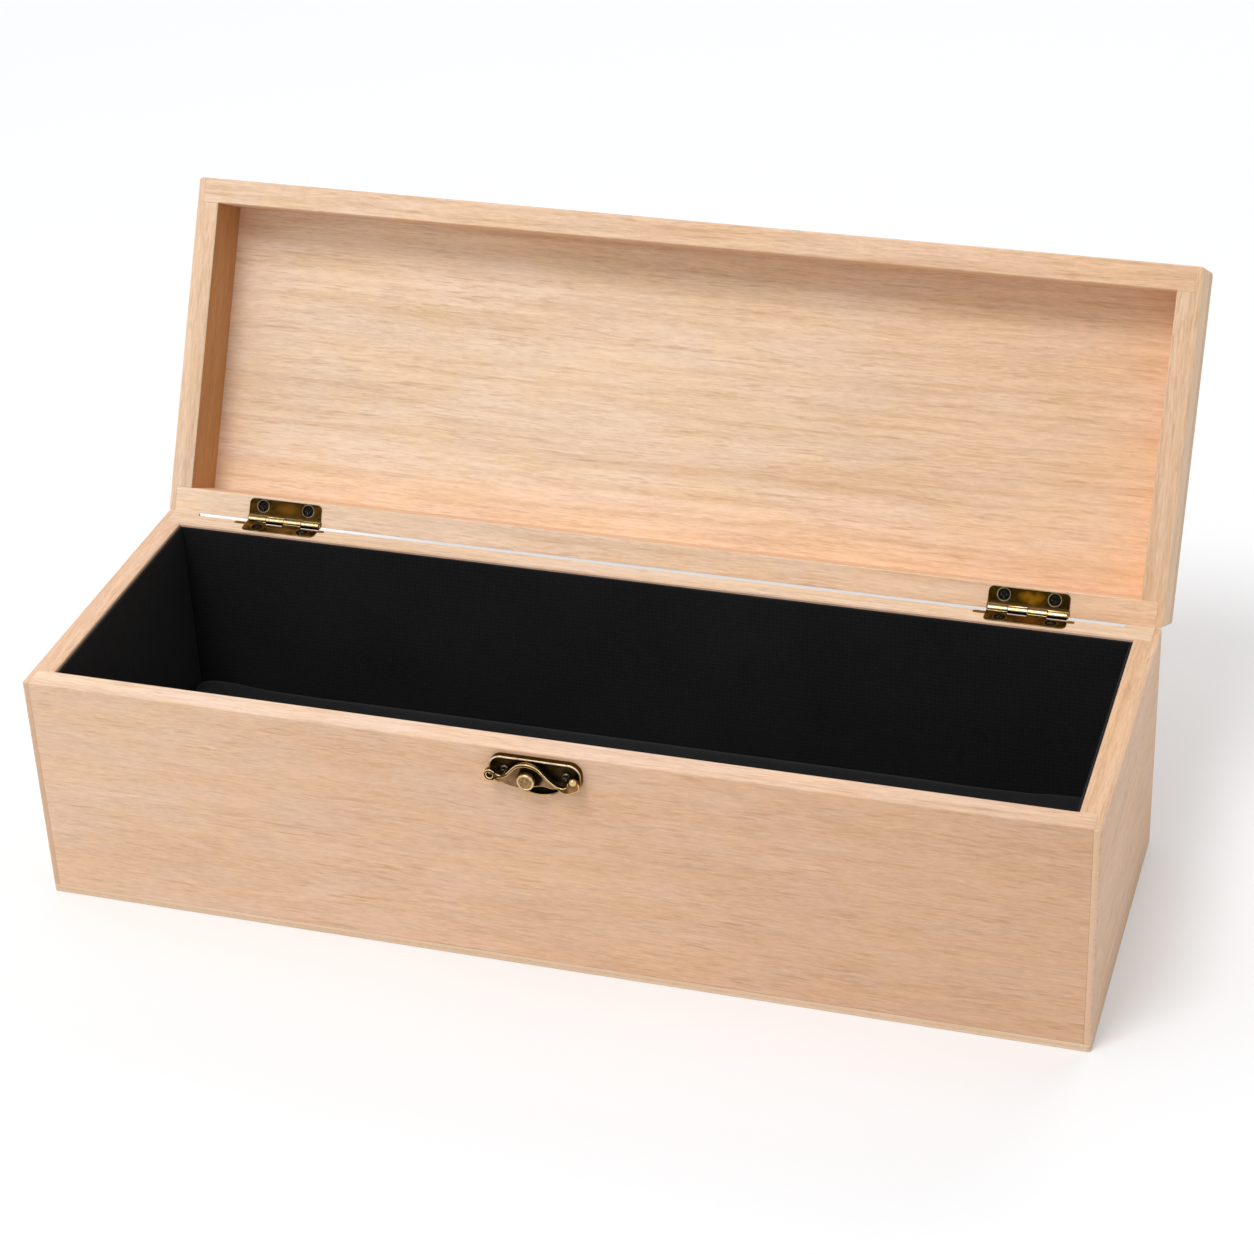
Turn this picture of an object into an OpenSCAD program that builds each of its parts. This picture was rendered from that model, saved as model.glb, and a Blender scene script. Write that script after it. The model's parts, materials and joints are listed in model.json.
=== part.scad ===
// Long hinged wooden box with a lined inside and a hook latch, standing open.
// Origin at the centre of the underside. +X runs along the length, -Y is the front with the
// latch, +Y the hinge side, +Z up. Millimetres.

/* [Box] */
// Length of the box
box_l = 350; // [300:1:420]
// Depth of the box, front to back
box_w = 117; // [97:1:141]
// Height of the base with its bottom panel
base_h = 83; // [69:1:100]
// Thickness of the front and back boards
long_t = 8.5; // [7:0.1:10.2]
// Thickness of the end boards
end_t = 8; // [6.6:0.1:9.6]
// Thickness of the tongue on each end board that hides the long board's end grain
tongue_t = 2.3; // [1.9:0.1:2.8]
// Thickness of the bottom panel
bottom_t = 3; // [2.5:0.1:4]
// Radius of the upright corners
corner_r = 1.2; // [1:0.1:1.5]
// Width of the eased outer edges
edge_ease = 0.6; // [0.4:0.1:0.8]
// Width of the eased inner edges of both rims
inner_ease = 0.5; // [0.3:0.1:0.6]

/* [Lid] */
// Depth of the lid's rails, which is the depth of the recess in the lid
rail_h = 20; // [16:0.5:24]
// Thickness of the lid's top board
top_t = 9; // [7:0.5:11]
// Angle at which the lid stands open
open_angle = 118; // [98:1:120]
// Gap between the two rims when the lid is closed
rim_gap = 0.6; // [0.5:0.1:0.8]
// Angle past the open position at which the two back edges would meet
stop_slack = 4; // [3:0.5:6]
// Width of the bevel along the base's back edge
back_bevel = 1.8; // [1.5:0.1:2.2]
// Length at each end of the back edge that stays sharp and stops the lid
bevel_stop = 12; // [10:1:15]

/* [Lining] */
// Thickness of the cloth-covered card on the walls
lining_t = 1; // [0.8:0.1:1.2]
// Distance from the lining's top edge to the rim
lining_drop = 1; // [0.8:0.1:2]
// Thickness of the foam bed
pad_h = 24; // [18:1:29]
// Clearance round the foam bed
pad_gap = 0.3; // [0.2:0.1:0.5]
// Radius of the trough along the bed
trough_r = 40; // [36:1:46]
// Depth of the trough
trough_d = 3; // [2:0.5:4]

/* [Hinges] */
// Distance from the middle of the box to the middle of each hinge
hinge_x = 131; // [109:1:135]
// Length of a hinge
hinge_l = 27; // [22:1:31]
// Distance from the pin's axis to the leaf's outer edge
leaf_w = 7.4; // [7:0.1:7.8]
// Thickness of a leaf
leaf_t = 0.75; // [0.7:0.05:0.9]
// Radius of the leaf's corners
leaf_r = 1.8; // [1.5:0.1:2.2]
// Distance between the axis and the face of each leaf that the closed hinge turns inwards
leaf_play = 0.1; // [0.08:0.01:0.12]
// Radius of the pin
pin_r = 0.5; // [0.45:0.05:0.6]
// Radial clearance of the pin in its knuckles
pin_play = 0.05; // [0.04:0.01:0.06]
// Wall of a knuckle round the pin
knuckle_wall = 0.7; // [0.6:0.05:0.8]
// Gap between neighbouring knuckles
knuckle_gap = 0.15; // [0.1:0.05:0.2]
// Reach of the cut-outs in the base leaf, from the axis
base_notch = 3; // [2.6:0.1:3.2]
// Reach of the cut-outs in the lid leaf, from the axis
lid_notch = 1.7; // [1.6:0.1:2.4]
// Clearance round the barrel in the wood
barrel_clear = 0.3; // [0.25:0.05:0.4]
// Radius of the pin's peened ends
pin_head_r = 0.85; // [0.8:0.05:1]
// Thickness of the pin's peened ends
pin_head_t = 0.35; // [0.3:0.05:0.4]
// Play of the pin along the hinge, at each end
pin_end_play = 0.05; // [0.04:0.01:0.06]
// Width of the saw kerf under each base leaf
kerf_w = 1.6; // [1.4:0.1:1.8]
// Depth of the saw kerf below the rim
kerf_d = 0.9; // [0.7:0.1:1.1]
// Distance from the back face to the middle of the kerf
kerf_in = 2.8; // [2.7:0.1:3.2]
// Length of the kerf past the left end of a hinge
kerf_run_left = 4.2; // [3.5:0.1:5]
// Length of the kerf past the right end of a hinge
kerf_run_right = 2.4; // [2:0.1:3]

/* [Screws] */
// Radius of every wood screw's shank
shank_r = 0.8; // [0.7:0.05:0.95]
// Clearance of a shank in its pilot hole, and of a head in its seat
screw_play = 0.03; // [0.02:0.01:0.05]
// Radius of a countersunk hinge screw's head
csk_r = 1.5; // [1.3:0.05:1.6]
// Height of a countersunk head
csk_h = 0.5; // [0.4:0.05:0.55]
// Width of the pressed dish round a countersunk head
dish_w = 0.65; // [0.5:0.05:0.8]
// Depth of the pressed dish, which is how far its head lies below the leaf's face
dish_d = 0.15; // [0.1:0.05:0.2]
// Length of a hinge screw
hinge_screw_l = 8; // [6:0.5:10]
// Distance from a leaf's end to its screw
hinge_screw_in = 5.1; // [4.2:0.1:5.6]
// Distance from the pin's axis to the screws
hinge_screw_out = 4.9; // [4.7:0.1:5.1]
// Radius of a pan head on the latch
pan_r = 1.5; // [1.3:0.1:1.8]
// Height of a pan head
pan_h = 0.8; // [0.7:0.05:0.9]
// Length of a latch screw under its head
latch_screw_l = 7; // [6:0.5:8]
// Width of the arms of the cross recess
cross_w = 0.4; // [0.3:0.05:0.5]
// Depth of the cross recess
cross_d = 0.4; // [0.3:0.05:0.5]

/* [Latch] */
// Distance from the middle of the box to the rivet, to the left
pivot_left = 2.2; // [1.8:0.1:2.7]
// Distance from the rim down to the rivet
pivot_drop = 8.1; // [7.6:0.1:10]
// Length of the latch plate
plate_l = 30; // [26:0.5:34]
// Height of the latch plate's straight part
plate_h = 10.3; // [9.5:0.1:11]
// Distance from the plate's top edge down to the rivet
plate_over = 6.6; // [6.3:0.1:7]
// Radius of the plate's corners
plate_r = 4; // [3.3:0.1:4.6]
// Distance from the rivet to the middle of the lobe under the plate
lobe_x = 3.4; // [2.8:0.1:4]
// Radius of the lobe under the plate
lobe_r = 11.5; // [10.5:0.5:13]
// Drop of the lobe below the plate's straight part
lobe_drop = 2.5; // [2:0.1:3]
// Height of the plate's raised rim
plate_rise = 2.2; // [2.1:0.1:2.4]
// Width of the plate's raised rim
plate_rim = 0.6; // [0.5:0.1:0.8]
// Thickness of the plate inside its rim
plate_floor = 1.1; // [0.9:0.05:1.2]
// Distance from the plate's middle to each of its screws
plate_screw_x = 10; // [9.6:0.1:10.8]
// Height of the plate's screws above the rivet
plate_screw_up = 1.5; // [1.2:0.1:2]
// Radius of the rivet's shank
rivet_r = 1.3; // [1.1:0.05:1.5]
// Radial clearance of the rivet in the arm
rivet_play = 0.05; // [0.04:0.01:0.06]
// Radius of the rivet's button
button_r = 2.8; // [2.4:0.1:3.2]
// Thickness of the rivet's button
button_t = 2.1; // [1.7:0.1:2.5]
// Radius of the spacer boss under the arm
boss_r = 2.4; // [2.1:0.1:2.8]
// Gap between the arm and what lies behind it and in front of it
arm_gap = 0.1; // [0.08:0.01:0.12]
// Height of the boss above the plate's rim
boss_over = 0.2; // [0.15:0.05:0.3]
// Thickness of the arm's raised band
band_t = 1.7; // [1.4:0.1:2]
// Thickness of the web that joins the band to the rivet
web_t = 0.7; // [0.6:0.05:0.8]
// Distance from the rivet to the middle of the hook's round end
hook_reach = 15.2; // [13:0.1:18]
// Radius of the hook's round end
hook_r = 2; // [1.8:0.05:2.3]
// Radius of the ball on the hook's tip
ball_r = 1.35; // [1.2:0.05:1.5]
// Distance from the rivet to the eye at the arm's other end
eye_reach = 11.9; // [11:0.1:12.5]
// Outer radius of the eye
eye_r = 2; // [1.8:0.1:2.4]
// Thickness of the eye, front to back
eye_t = 2; // [1.7:0.1:2.4]
// Radius of the hole in the eye
eye_hole_r = 1; // [0.8:0.1:1.2]

/* [Hidden] */

$fn = 64;
over = 1;
wood = "burlywood";
brass = "darkgoldenrod";
steel = "silver";
cloth = "#1b1b1d";

inner_l = box_l - 2 * end_t;
inner_w = box_w - 2 * long_t;
wall_h = base_h - bottom_t;

// The pin lies midway between the closed rims, as far in from the back face as brings the two
// back edges together just past the open angle.
pin_inset = rim_gap / 2 / tan((open_angle + stop_slack) / 2);
pin_y = box_w / 2 - pin_inset;
pin_up = rim_gap / 2;
barrel_r = pin_r + pin_play + knuckle_wall;
// The pin's peened ends lie inside the length of the leaves
pin_end = pin_end_play + pin_head_t;
barrel_l = hinge_l - 2 * pin_end;
knuckles = 4;
knuckle_l = barrel_l / knuckles;
base_knuckles = [0, 2];
lid_knuckles = [1, 3];
// Height of a leaf's inward face above its own rim
leaf_top = pin_up - leaf_play;
mortise_d = leaf_t - leaf_top;

pilot_r = shank_r + screw_play;
tip_l = 1.5;

pivot_x = -pivot_left;
pivot_z = base_h - pivot_drop;
plate_mid = pivot_left;
boss_top = plate_rise + boss_over;
arm_back = boss_top + arm_gap;
button_back = arm_back + web_t + arm_gap;
tail_r = 2;
tail_t = 0.7;
tail_room = 0.2;

// Outlines of the arm seen from the front, round the rivet. Across, each side is in shares of its
// own reach, and up it is in millimetres.
// Raised band: along its top from the eye to the hook, then back underneath
band_shape = [
    [-0.93, 2.0], [-0.82, 1.1], [-0.7, 0.8], [-0.55, 1.8], [-0.4, 3.8], [-0.24, 5.4], [-0.04, 6.0],
    [0.13, 5.75], [0.265, 4.75], [0.38, 2.9], [0.5, 1.0], [0.645, -0.6], [0.77, -1.0], [0.865, -0.2],
    [1, 1.6], [1.1, -0.6], [0.97, -2.3], [0.83, -2.9], [0.73, -2.4], [0.62, -1.2], [0.49, 0.3],
    [0.38, 1.8], [0.29, 3.1], [0.2, 4.1], [0.08, 4.75], [-0.08, 4.85], [-0.25, 4.2], [-0.39, 2.6],
    [-0.53, 0.7], [-0.68, -0.3], [-0.83, -0.7], [-0.95, -1.0]
];
// Web: from the eye under the band to the hook, then back along its lower edge
web_shape = [
    [-0.8, 0.1], [-0.56, 1.0], [-0.36, 3.6], [-0.2, 4.9], [0, 5.3], [0.16, 4.9], [0.3, 3.4],
    [0.42, 1.4], [0.54, -0.2], [0.64, -2.0], [0.5, -2.4], [0.34, -2.0], [0.2, -2.3], [0, -3.3],
    [-0.25, -3.7], [-0.5, -3.3], [-0.72, -2.5], [-0.86, -1.2]
];
eye_up = 0.5;
hook_up = 0.1;
ball_up = 1.7;
curve_steps = 5;

function catmull(a, b, c, d, t) =
    0.5 * (2 * b + (c - a) * t + (2 * a - 5 * b + 4 * c - d) * t * t + (3 * b - a - 3 * c + d) * t * t * t);

// Closed smooth curve through the points
function closed_curve(p, steps) = [
    for (i = [0:len(p) - 1], j = [0:steps - 1])
        catmull(p[(i + len(p) - 1) % len(p)], p[i], p[(i + 1) % len(p)], p[(i + 2) % len(p)], j / steps)
];

// Closed curve of one of the arm's outlines, at its real reach
function arm_curve(shape) =
    closed_curve([for (p = shape) [p[0] * (p[0] > 0 ? hook_reach : eye_reach), p[1]]], curve_steps);

// Rectangle with round corners, centred
module round_rect(l, w, r) {
    square([l - 2 * r, w], center = true);
    square([l, w - 2 * r], center = true);
    for (x = [-1, 1], y = [-1, 1])
        translate([x * (l / 2 - r), y * (w / 2 - r)]) circle(r);
}

// Bar of square section whose corner cuts a bevel of the given width along an edge on the X axis
module bevel_bar(l, width) {
    rotate([45, 0, 0]) cube([l, width * sqrt(2), width * sqrt(2)], center = true);
}

// Four bevels round the top of the box's outline, or three that leave the hinge side sharp
module outer_bevels(width, hinge_side) {
    for (x = [-1, 1])
        translate([x * box_l / 2, 0, 0]) rotate([0, 0, 90]) bevel_bar(box_w + 2 * over, width);
    for (y = hinge_side ? [-1, 1] : [-1])
        translate([0, y * box_w / 2, 0]) bevel_bar(box_l + 2 * over, width);
}

// Outline that every wall of one half is trimmed to: its rim is at z = 0 and it reaches down
module wall_outline(h) {
    difference() {
        translate([0, 0, -h]) linear_extrude(h) round_rect(box_l, box_w, corner_r);
        outer_bevels(edge_ease, false);
    }
}

// Front or back board of one half, rim at z = 0. side is -1 for the front and 1 for the back
module long_wall(h, side) {
    difference() {
        intersection() {
            wall_outline(h);
            translate([-box_l / 2 + tongue_t, side > 0 ? box_w / 2 - long_t : -box_w / 2, -h])
                cube([box_l - 2 * tongue_t, long_t, h]);
        }
        translate([0, side * inner_w / 2, 0]) bevel_bar(inner_l, inner_ease);
    }
}

// End board of one half, rim at z = 0, rabbeted for the two long boards
module end_wall(h, side) {
    difference() {
        intersection() {
            wall_outline(h);
            union() {
                translate([side > 0 ? box_l / 2 - tongue_t : -box_l / 2, -box_w / 2, -h])
                    cube([tongue_t, box_w, h]);
                translate([side > 0 ? inner_l / 2 : -box_l / 2, -inner_w / 2, -h])
                    cube([end_t, inner_w, h]);
            }
        }
        translate([side * inner_l / 2, 0, 0]) rotate([0, 0, 90]) bevel_bar(inner_w, inner_ease);
    }
}

// Places a half's walls, made with the rim at z = 0, on the base
module on_base() {
    translate([0, 0, base_h]) children();
}

// Turns a piece from where it is with the lid closed to where it is with the lid open
module opened() {
    translate([0, pin_y, base_h + pin_up]) rotate([-open_angle, 0, 0])
        translate([0, -pin_y, -base_h - pin_up]) children();
}

// Places a half's walls, made with the rim at z = 0, on the open lid
module on_lid() {
    opened() translate([0, 0, base_h + rim_gap]) mirror([0, 0, 1]) children();
}

// Places hinge pieces made round the pin, at one end of the box
module at_hinge(side) {
    translate([side * hinge_x, pin_y, pin_up]) children();
}

// Positions of the two screws of a leaf, on its inward face
module leaf_screws() {
    for (x = [-1, 1])
        translate([x * (hinge_l / 2 - hinge_screw_in), -hinge_screw_out, -leaf_play]) children();
}

// Outline of a leaf, from the axis forwards
module leaf_outline() {
    translate([-hinge_l / 2, -leaf_w + leaf_r]) square([hinge_l, leaf_w - leaf_r]);
    translate([-hinge_l / 2 + leaf_r, -leaf_w]) square([hinge_l - 2 * leaf_r, leaf_w]);
    for (x = [-1, 1])
        translate([x * (hinge_l / 2 - leaf_r), -leaf_w + leaf_r]) circle(leaf_r);
}

// What a hinge takes out of the wood of either rim: the leaf's mortise, the barrel's room and
// the pilot holes, made round the pin
module hinge_room() {
    room = hinge_l + 2 * barrel_clear;
    translate([0, 0, -leaf_play - leaf_t]) linear_extrude(leaf_t + over) leaf_outline();
    rotate([0, 90, 0]) cylinder(h = room, r = barrel_r + barrel_clear, center = true);
    leaf_screws() translate([0, 0, -dish_d - hinge_screw_l - screw_play])
        cylinder(h = hinge_screw_l, r = pilot_r);
}

// Middle of a knuckle along the pin
function knuckle_x(k) = (k + 0.5) * knuckle_l - barrel_l / 2;

// Room for a peened end of the pin beside a leaf's own outermost knuckle
module head_room(own) {
    reach = pin_head_r + 2 * pin_end_play;
    for (k = own)
        if (k == 0 || k == knuckles - 1) {
            way = k == 0 ? -1 : 1;
            translate([way * (barrel_l + pin_end + over) / 2, over - reach / 2, 0])
                cube([pin_end + over, reach + 2 * over, 4 * barrel_r], center = true);
        }
}

// Leaf with its own knuckles, cut out for those of the other leaf and drilled for its screws
module hinge_leaf(own, others, notch) {
    color(brass) difference() {
        union() {
            translate([0, 0, -leaf_play - leaf_t]) linear_extrude(leaf_t) leaf_outline();
            for (k = own)
                translate([knuckle_x(k), 0, 0]) rotate([0, 90, 0])
                    cylinder(h = knuckle_l - knuckle_gap, r = barrel_r, center = true);
        }
        for (k = others) {
            last = k == 0 || k == knuckles - 1 ? pin_end + over : 0;
            way = k == 0 ? -1 : 1;
            translate([knuckle_x(k) + way * last / 2, over - notch / 2, 0])
                cube([knuckle_l + last, notch + 2 * over, 4 * barrel_r], center = true);
        }
        rotate([0, 90, 0]) cylinder(h = hinge_l + 2 * over, r = pin_r + pin_play, center = true);
        head_room(own);
        leaf_screws() {
            translate([0, 0, -leaf_t - over]) cylinder(h = leaf_t + 2 * over, r = pilot_r);
            translate([0, 0, -dish_d - csk_h]) cylinder(h = csk_h, r1 = pilot_r, r2 = csk_r + screw_play);
            translate([0, 0, -dish_d])
                cylinder(h = dish_d, r1 = csk_r + screw_play, r2 = csk_r + screw_play + dish_w);
        }
    }
}

// Pin with a peened end on each side
module hinge_pin() {
    color(brass) rotate([0, 90, 0]) {
        cylinder(h = barrel_l + 2 * pin_end_play + pin_head_t, r = pin_r, center = true);
        for (m = [0, 1])
            mirror([0, 0, m]) translate([0, 0, barrel_l / 2 + pin_end_play]) {
                cylinder(h = pin_head_t / 2, r = pin_head_r);
                translate([0, 0, pin_head_t / 2])
                    cylinder(h = pin_head_t / 2, r1 = pin_head_r, r2 = pin_head_r - pin_head_t / 2);
            }
    }
}

// Cross recess cut into a head whose top is at z = 0
module cross_recess(r) {
    for (a = [0, 90])
        rotate([0, 0, a]) cube([1.3 * r, cross_w, 2 * cross_d], center = true);
}

// Shank with a point, from z = 0 down to the given length
module shank(l) {
    translate([0, 0, tip_l - l]) cylinder(h = l - tip_l, r = shank_r);
    translate([0, 0, -l]) cylinder(h = tip_l, r1 = shank_r / 4, r2 = shank_r);
}

// Countersunk screw with the top of its head at z = 0
module csk_screw(l) {
    difference() {
        union() {
            translate([0, 0, -csk_h]) cylinder(h = csk_h, r1 = shank_r, r2 = csk_r);
            shank(l);
        }
        cross_recess(csk_r);
    }
}

// Pan-headed screw with the underside of its head at z = 0
module pan_screw(l) {
    dome = pan_h / 2;
    difference() {
        union() {
            cylinder(h = pan_h - dome, r = pan_r);
            translate([0, 0, pan_h - dome]) cylinder(h = dome, r1 = pan_r, r2 = pan_r - dome);
            shank(l);
        }
        translate([0, 0, pan_h]) cross_recess(pan_r);
    }
}

module leaf_screw_pair() {
    color(steel) leaf_screws() translate([0, 0, -dish_d]) csk_screw(hinge_screw_l);
}

// Base

// Saw kerf under a base leaf, from the rim down
module kerf() {
    run = hinge_l + kerf_run_left + kerf_run_right;
    translate([(kerf_run_right - kerf_run_left) / 2, box_w / 2 - kerf_in, -kerf_d])
        linear_extrude(kerf_d + over) {
            square([run - kerf_w, kerf_w], center = true);
            for (x = [-1, 1])
                translate([x * (run - kerf_w) / 2, 0]) circle(kerf_w / 2);
        }
}

module base_front_board() {
    color(wood) difference() {
        on_base() long_wall(wall_h, -1);
        on_front(pivot_x, pivot_z) {
            translate([0, 0, -tail_t - tail_room])
                cylinder(h = tail_t + tail_room + over, r = tail_r + tail_room);
            plate_screws() translate([0, 0, plate_floor - latch_screw_l - screw_play])
                cylinder(h = latch_screw_l, r = pilot_r);
        }
    }
}

module base_back_board() {
    color(wood) on_base() difference() {
        long_wall(wall_h, 1);
        translate([0, box_w / 2, 0]) bevel_bar(box_l - 2 * bevel_stop, back_bevel);
        for (side = [-1, 1]) {
            at_hinge(side) hinge_room();
            translate([side * hinge_x, 0, 0]) kerf();
        }
    }
}

module base_left_end() {
    color(wood) on_base() end_wall(wall_h, -1);
}

module base_right_end() {
    color(wood) on_base() end_wall(wall_h, 1);
}

module base_bottom_panel() {
    color(wood) difference() {
        linear_extrude(bottom_t) round_rect(box_l, box_w, corner_r);
        outer_bevels(edge_ease / 2, true);
    }
}

module lining_long(side) {
    y = side > 0 ? inner_w / 2 - lining_t : -inner_w / 2;
    color(cloth) translate([-inner_l / 2 + lining_t, y, bottom_t])
        cube([inner_l - 2 * lining_t, lining_t, wall_h - lining_drop]);
}

module lining_end(side) {
    x = side > 0 ? inner_l / 2 - lining_t : -inner_l / 2;
    color(cloth) translate([x, -inner_w / 2, bottom_t]) cube([lining_t, inner_w, wall_h - lining_drop]);
}

module floor_pad() {
    l = inner_l - 2 * (lining_t + pad_gap);
    w = inner_w - 2 * (lining_t + pad_gap);
    color(cloth) difference() {
        translate([-l / 2, -w / 2, bottom_t]) cube([l, w, pad_h]);
        translate([0, 0, bottom_t + pad_h - trough_d + trough_r]) rotate([0, 90, 0])
            cylinder(h = l + 2 * over, r = trough_r, center = true, $fn = 160);
    }
}

// Lid

module lid_front_rail() {
    color(wood) on_lid() long_wall(rail_h, -1);
}

module lid_back_rail() {
    color(wood) on_lid() difference() {
        long_wall(rail_h, 1);
        for (side = [-1, 1])
            at_hinge(side) hinge_room();
    }
}

module lid_left_rail() {
    color(wood) on_lid() end_wall(rail_h, -1);
}

module lid_right_rail() {
    color(wood) on_lid() end_wall(rail_h, 1);
}

module lid_top_board() {
    color(wood) opened() translate([0, 0, base_h + rim_gap + rail_h]) difference() {
        linear_extrude(top_t) round_rect(box_l, box_w, corner_r);
        translate([0, 0, top_t]) outer_bevels(edge_ease, true);
    }
}

// Hinges

module base_leaf(side) {
    on_base() at_hinge(side) hinge_leaf(base_knuckles, lid_knuckles, base_notch);
}

module lid_leaf(side) {
    on_lid() at_hinge(side) hinge_leaf(lid_knuckles, base_knuckles, lid_notch);
}

// Latch

// Local frame on the front: x to the right, y up, z out of the face
module on_front(x, z) {
    translate([x, -box_w / 2, z]) rotate([90, 0, 0]) children();
}

module plate_screws() {
    for (x = [-1, 1])
        translate([plate_mid + x * plate_screw_x, plate_screw_up, 0]) children();
}

// Outline of the latch plate, drawn in by an inset all round
module plate_outline(inset) {
    foot = plate_over - plate_h;
    translate([plate_mid, plate_over - plate_h / 2])
        round_rect(plate_l - 2 * inset, plate_h - 2 * inset, plate_r - inset);
    intersection() {
        translate([lobe_x, foot - lobe_drop + lobe_r]) circle(lobe_r - inset);
        translate([plate_mid - plate_l / 2, foot - lobe_drop]) square([plate_l, plate_h / 2 + lobe_drop]);
    }
}

module latch_plate() {
    color(brass) on_front(pivot_x, pivot_z) difference() {
        union() {
            difference() {
                linear_extrude(plate_rise) plate_outline(0);
                translate([0, 0, plate_floor]) linear_extrude(plate_rise) plate_outline(plate_rim);
            }
            cylinder(h = boss_top, r = boss_r);
        }
        translate([0, 0, -over]) cylinder(h = boss_top + 2 * over, r = rivet_r + screw_play);
        plate_screws() translate([0, 0, -over]) cylinder(h = plate_rise + 2 * over, r = pilot_r);
    }
}

module latch_rivet() {
    rim = 0.55;
    sunk = 0.15;
    bevel = 0.25;
    color(brass) on_front(pivot_x, pivot_z) difference() {
        union() {
            translate([0, 0, -tail_t]) cylinder(h = tail_t, r = tail_r);
            translate([0, 0, -tail_t]) cylinder(h = tail_t + button_back, r = rivet_r);
            translate([0, 0, button_back]) cylinder(h = button_t - bevel, r = button_r);
            translate([0, 0, button_back + button_t - bevel])
                cylinder(h = bevel, r1 = button_r, r2 = button_r - bevel);
        }
        translate([0, 0, button_back + button_t - sunk]) cylinder(h = over, r = button_r - rim);
    }
}

module latch_screws() {
    color(steel) on_front(pivot_x, pivot_z) plate_screws()
        translate([0, 0, plate_floor]) pan_screw(latch_screw_l);
}

module latch_arm() {
    color(brass) on_front(pivot_x, pivot_z) translate([0, 0, arm_back]) difference() {
        union() {
            linear_extrude(band_t) polygon(arm_curve(band_shape));
            linear_extrude(web_t) polygon(arm_curve(web_shape));
            translate([-eye_reach, eye_up, 0]) cylinder(h = eye_t, r = eye_r);
            translate([hook_reach, hook_up, 0]) cylinder(h = band_t, r = hook_r);
            translate([hook_reach, ball_up, ball_r]) sphere(ball_r);
        }
        translate([0, 0, -over]) cylinder(h = web_t + 2 * over, r = rivet_r + rivet_play);
        translate([-eye_reach, eye_up, -over]) cylinder(h = eye_t + 2 * over, r = eye_hole_r);
    }
}

base_front_board();
base_back_board();
base_left_end();
base_right_end();
base_bottom_panel();
lining_long(-1);  // lining_front
lining_long(1);  // lining_back
lining_end(-1);  // lining_left
lining_end(1);  // lining_right
floor_pad();
lid_front_rail();
lid_back_rail();
lid_left_rail();
lid_right_rail();
lid_top_board();
base_leaf(-1);  // hinge_left_base_leaf
lid_leaf(-1);  // hinge_left_lid_leaf
on_base() at_hinge(-1) hinge_pin();  // hinge_left_pin
on_base() at_hinge(-1) leaf_screw_pair();  // hinge_left_base_screws
on_lid() at_hinge(-1) leaf_screw_pair();  // hinge_left_lid_screws
base_leaf(1);  // hinge_right_base_leaf
lid_leaf(1);  // hinge_right_lid_leaf
on_base() at_hinge(1) hinge_pin();  // hinge_right_pin
on_base() at_hinge(1) leaf_screw_pair();  // hinge_right_base_screws
on_lid() at_hinge(1) leaf_screw_pair();  // hinge_right_lid_screws
latch_plate();
latch_rivet();
latch_screws();
latch_arm();
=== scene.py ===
"""Looks for the long hinged wooden box, built round its CAD frame. Metres, +Z up, front towards -Y."""

import json
import math

import bmesh
import bpy
import numpy as np
from mathutils import Matrix, Vector

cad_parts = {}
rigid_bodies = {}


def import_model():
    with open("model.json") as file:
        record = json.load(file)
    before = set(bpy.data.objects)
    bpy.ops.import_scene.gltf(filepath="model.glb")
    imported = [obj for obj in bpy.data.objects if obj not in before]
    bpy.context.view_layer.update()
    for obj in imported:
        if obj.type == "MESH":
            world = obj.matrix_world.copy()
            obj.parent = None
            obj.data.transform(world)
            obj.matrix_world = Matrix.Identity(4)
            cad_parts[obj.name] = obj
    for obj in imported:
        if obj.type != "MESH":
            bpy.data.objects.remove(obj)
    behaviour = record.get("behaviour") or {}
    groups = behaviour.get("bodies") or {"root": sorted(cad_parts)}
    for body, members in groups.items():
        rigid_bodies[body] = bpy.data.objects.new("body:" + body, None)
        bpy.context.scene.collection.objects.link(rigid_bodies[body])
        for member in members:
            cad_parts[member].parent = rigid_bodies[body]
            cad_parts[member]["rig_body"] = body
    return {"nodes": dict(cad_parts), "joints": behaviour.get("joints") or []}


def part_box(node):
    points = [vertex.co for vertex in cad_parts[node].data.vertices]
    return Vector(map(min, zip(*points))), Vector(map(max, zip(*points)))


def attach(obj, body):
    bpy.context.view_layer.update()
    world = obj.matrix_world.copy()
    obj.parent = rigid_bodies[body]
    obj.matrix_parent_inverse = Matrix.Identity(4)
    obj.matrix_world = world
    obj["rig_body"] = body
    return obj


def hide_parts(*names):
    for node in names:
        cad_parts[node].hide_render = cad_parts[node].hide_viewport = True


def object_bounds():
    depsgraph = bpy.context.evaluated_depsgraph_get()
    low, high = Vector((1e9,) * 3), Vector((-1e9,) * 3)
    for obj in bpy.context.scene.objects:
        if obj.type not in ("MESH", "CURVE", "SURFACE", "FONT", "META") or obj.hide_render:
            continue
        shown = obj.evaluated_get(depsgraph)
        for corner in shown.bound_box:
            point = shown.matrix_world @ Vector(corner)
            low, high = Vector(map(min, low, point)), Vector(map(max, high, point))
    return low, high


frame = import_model()
nodes = frame["nodes"]
cad_low, cad_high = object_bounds()
scene = bpy.context.scene

MM = 0.001
OPEN_ANGLE = math.radians(118)


def joint_place(name):
    return Vector(next(joint["pos_m"] for joint in frame["joints"] if joint["name"] == name))


def middle_x(node):
    low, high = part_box(node)
    return (low.x + high.x) / 2


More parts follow.
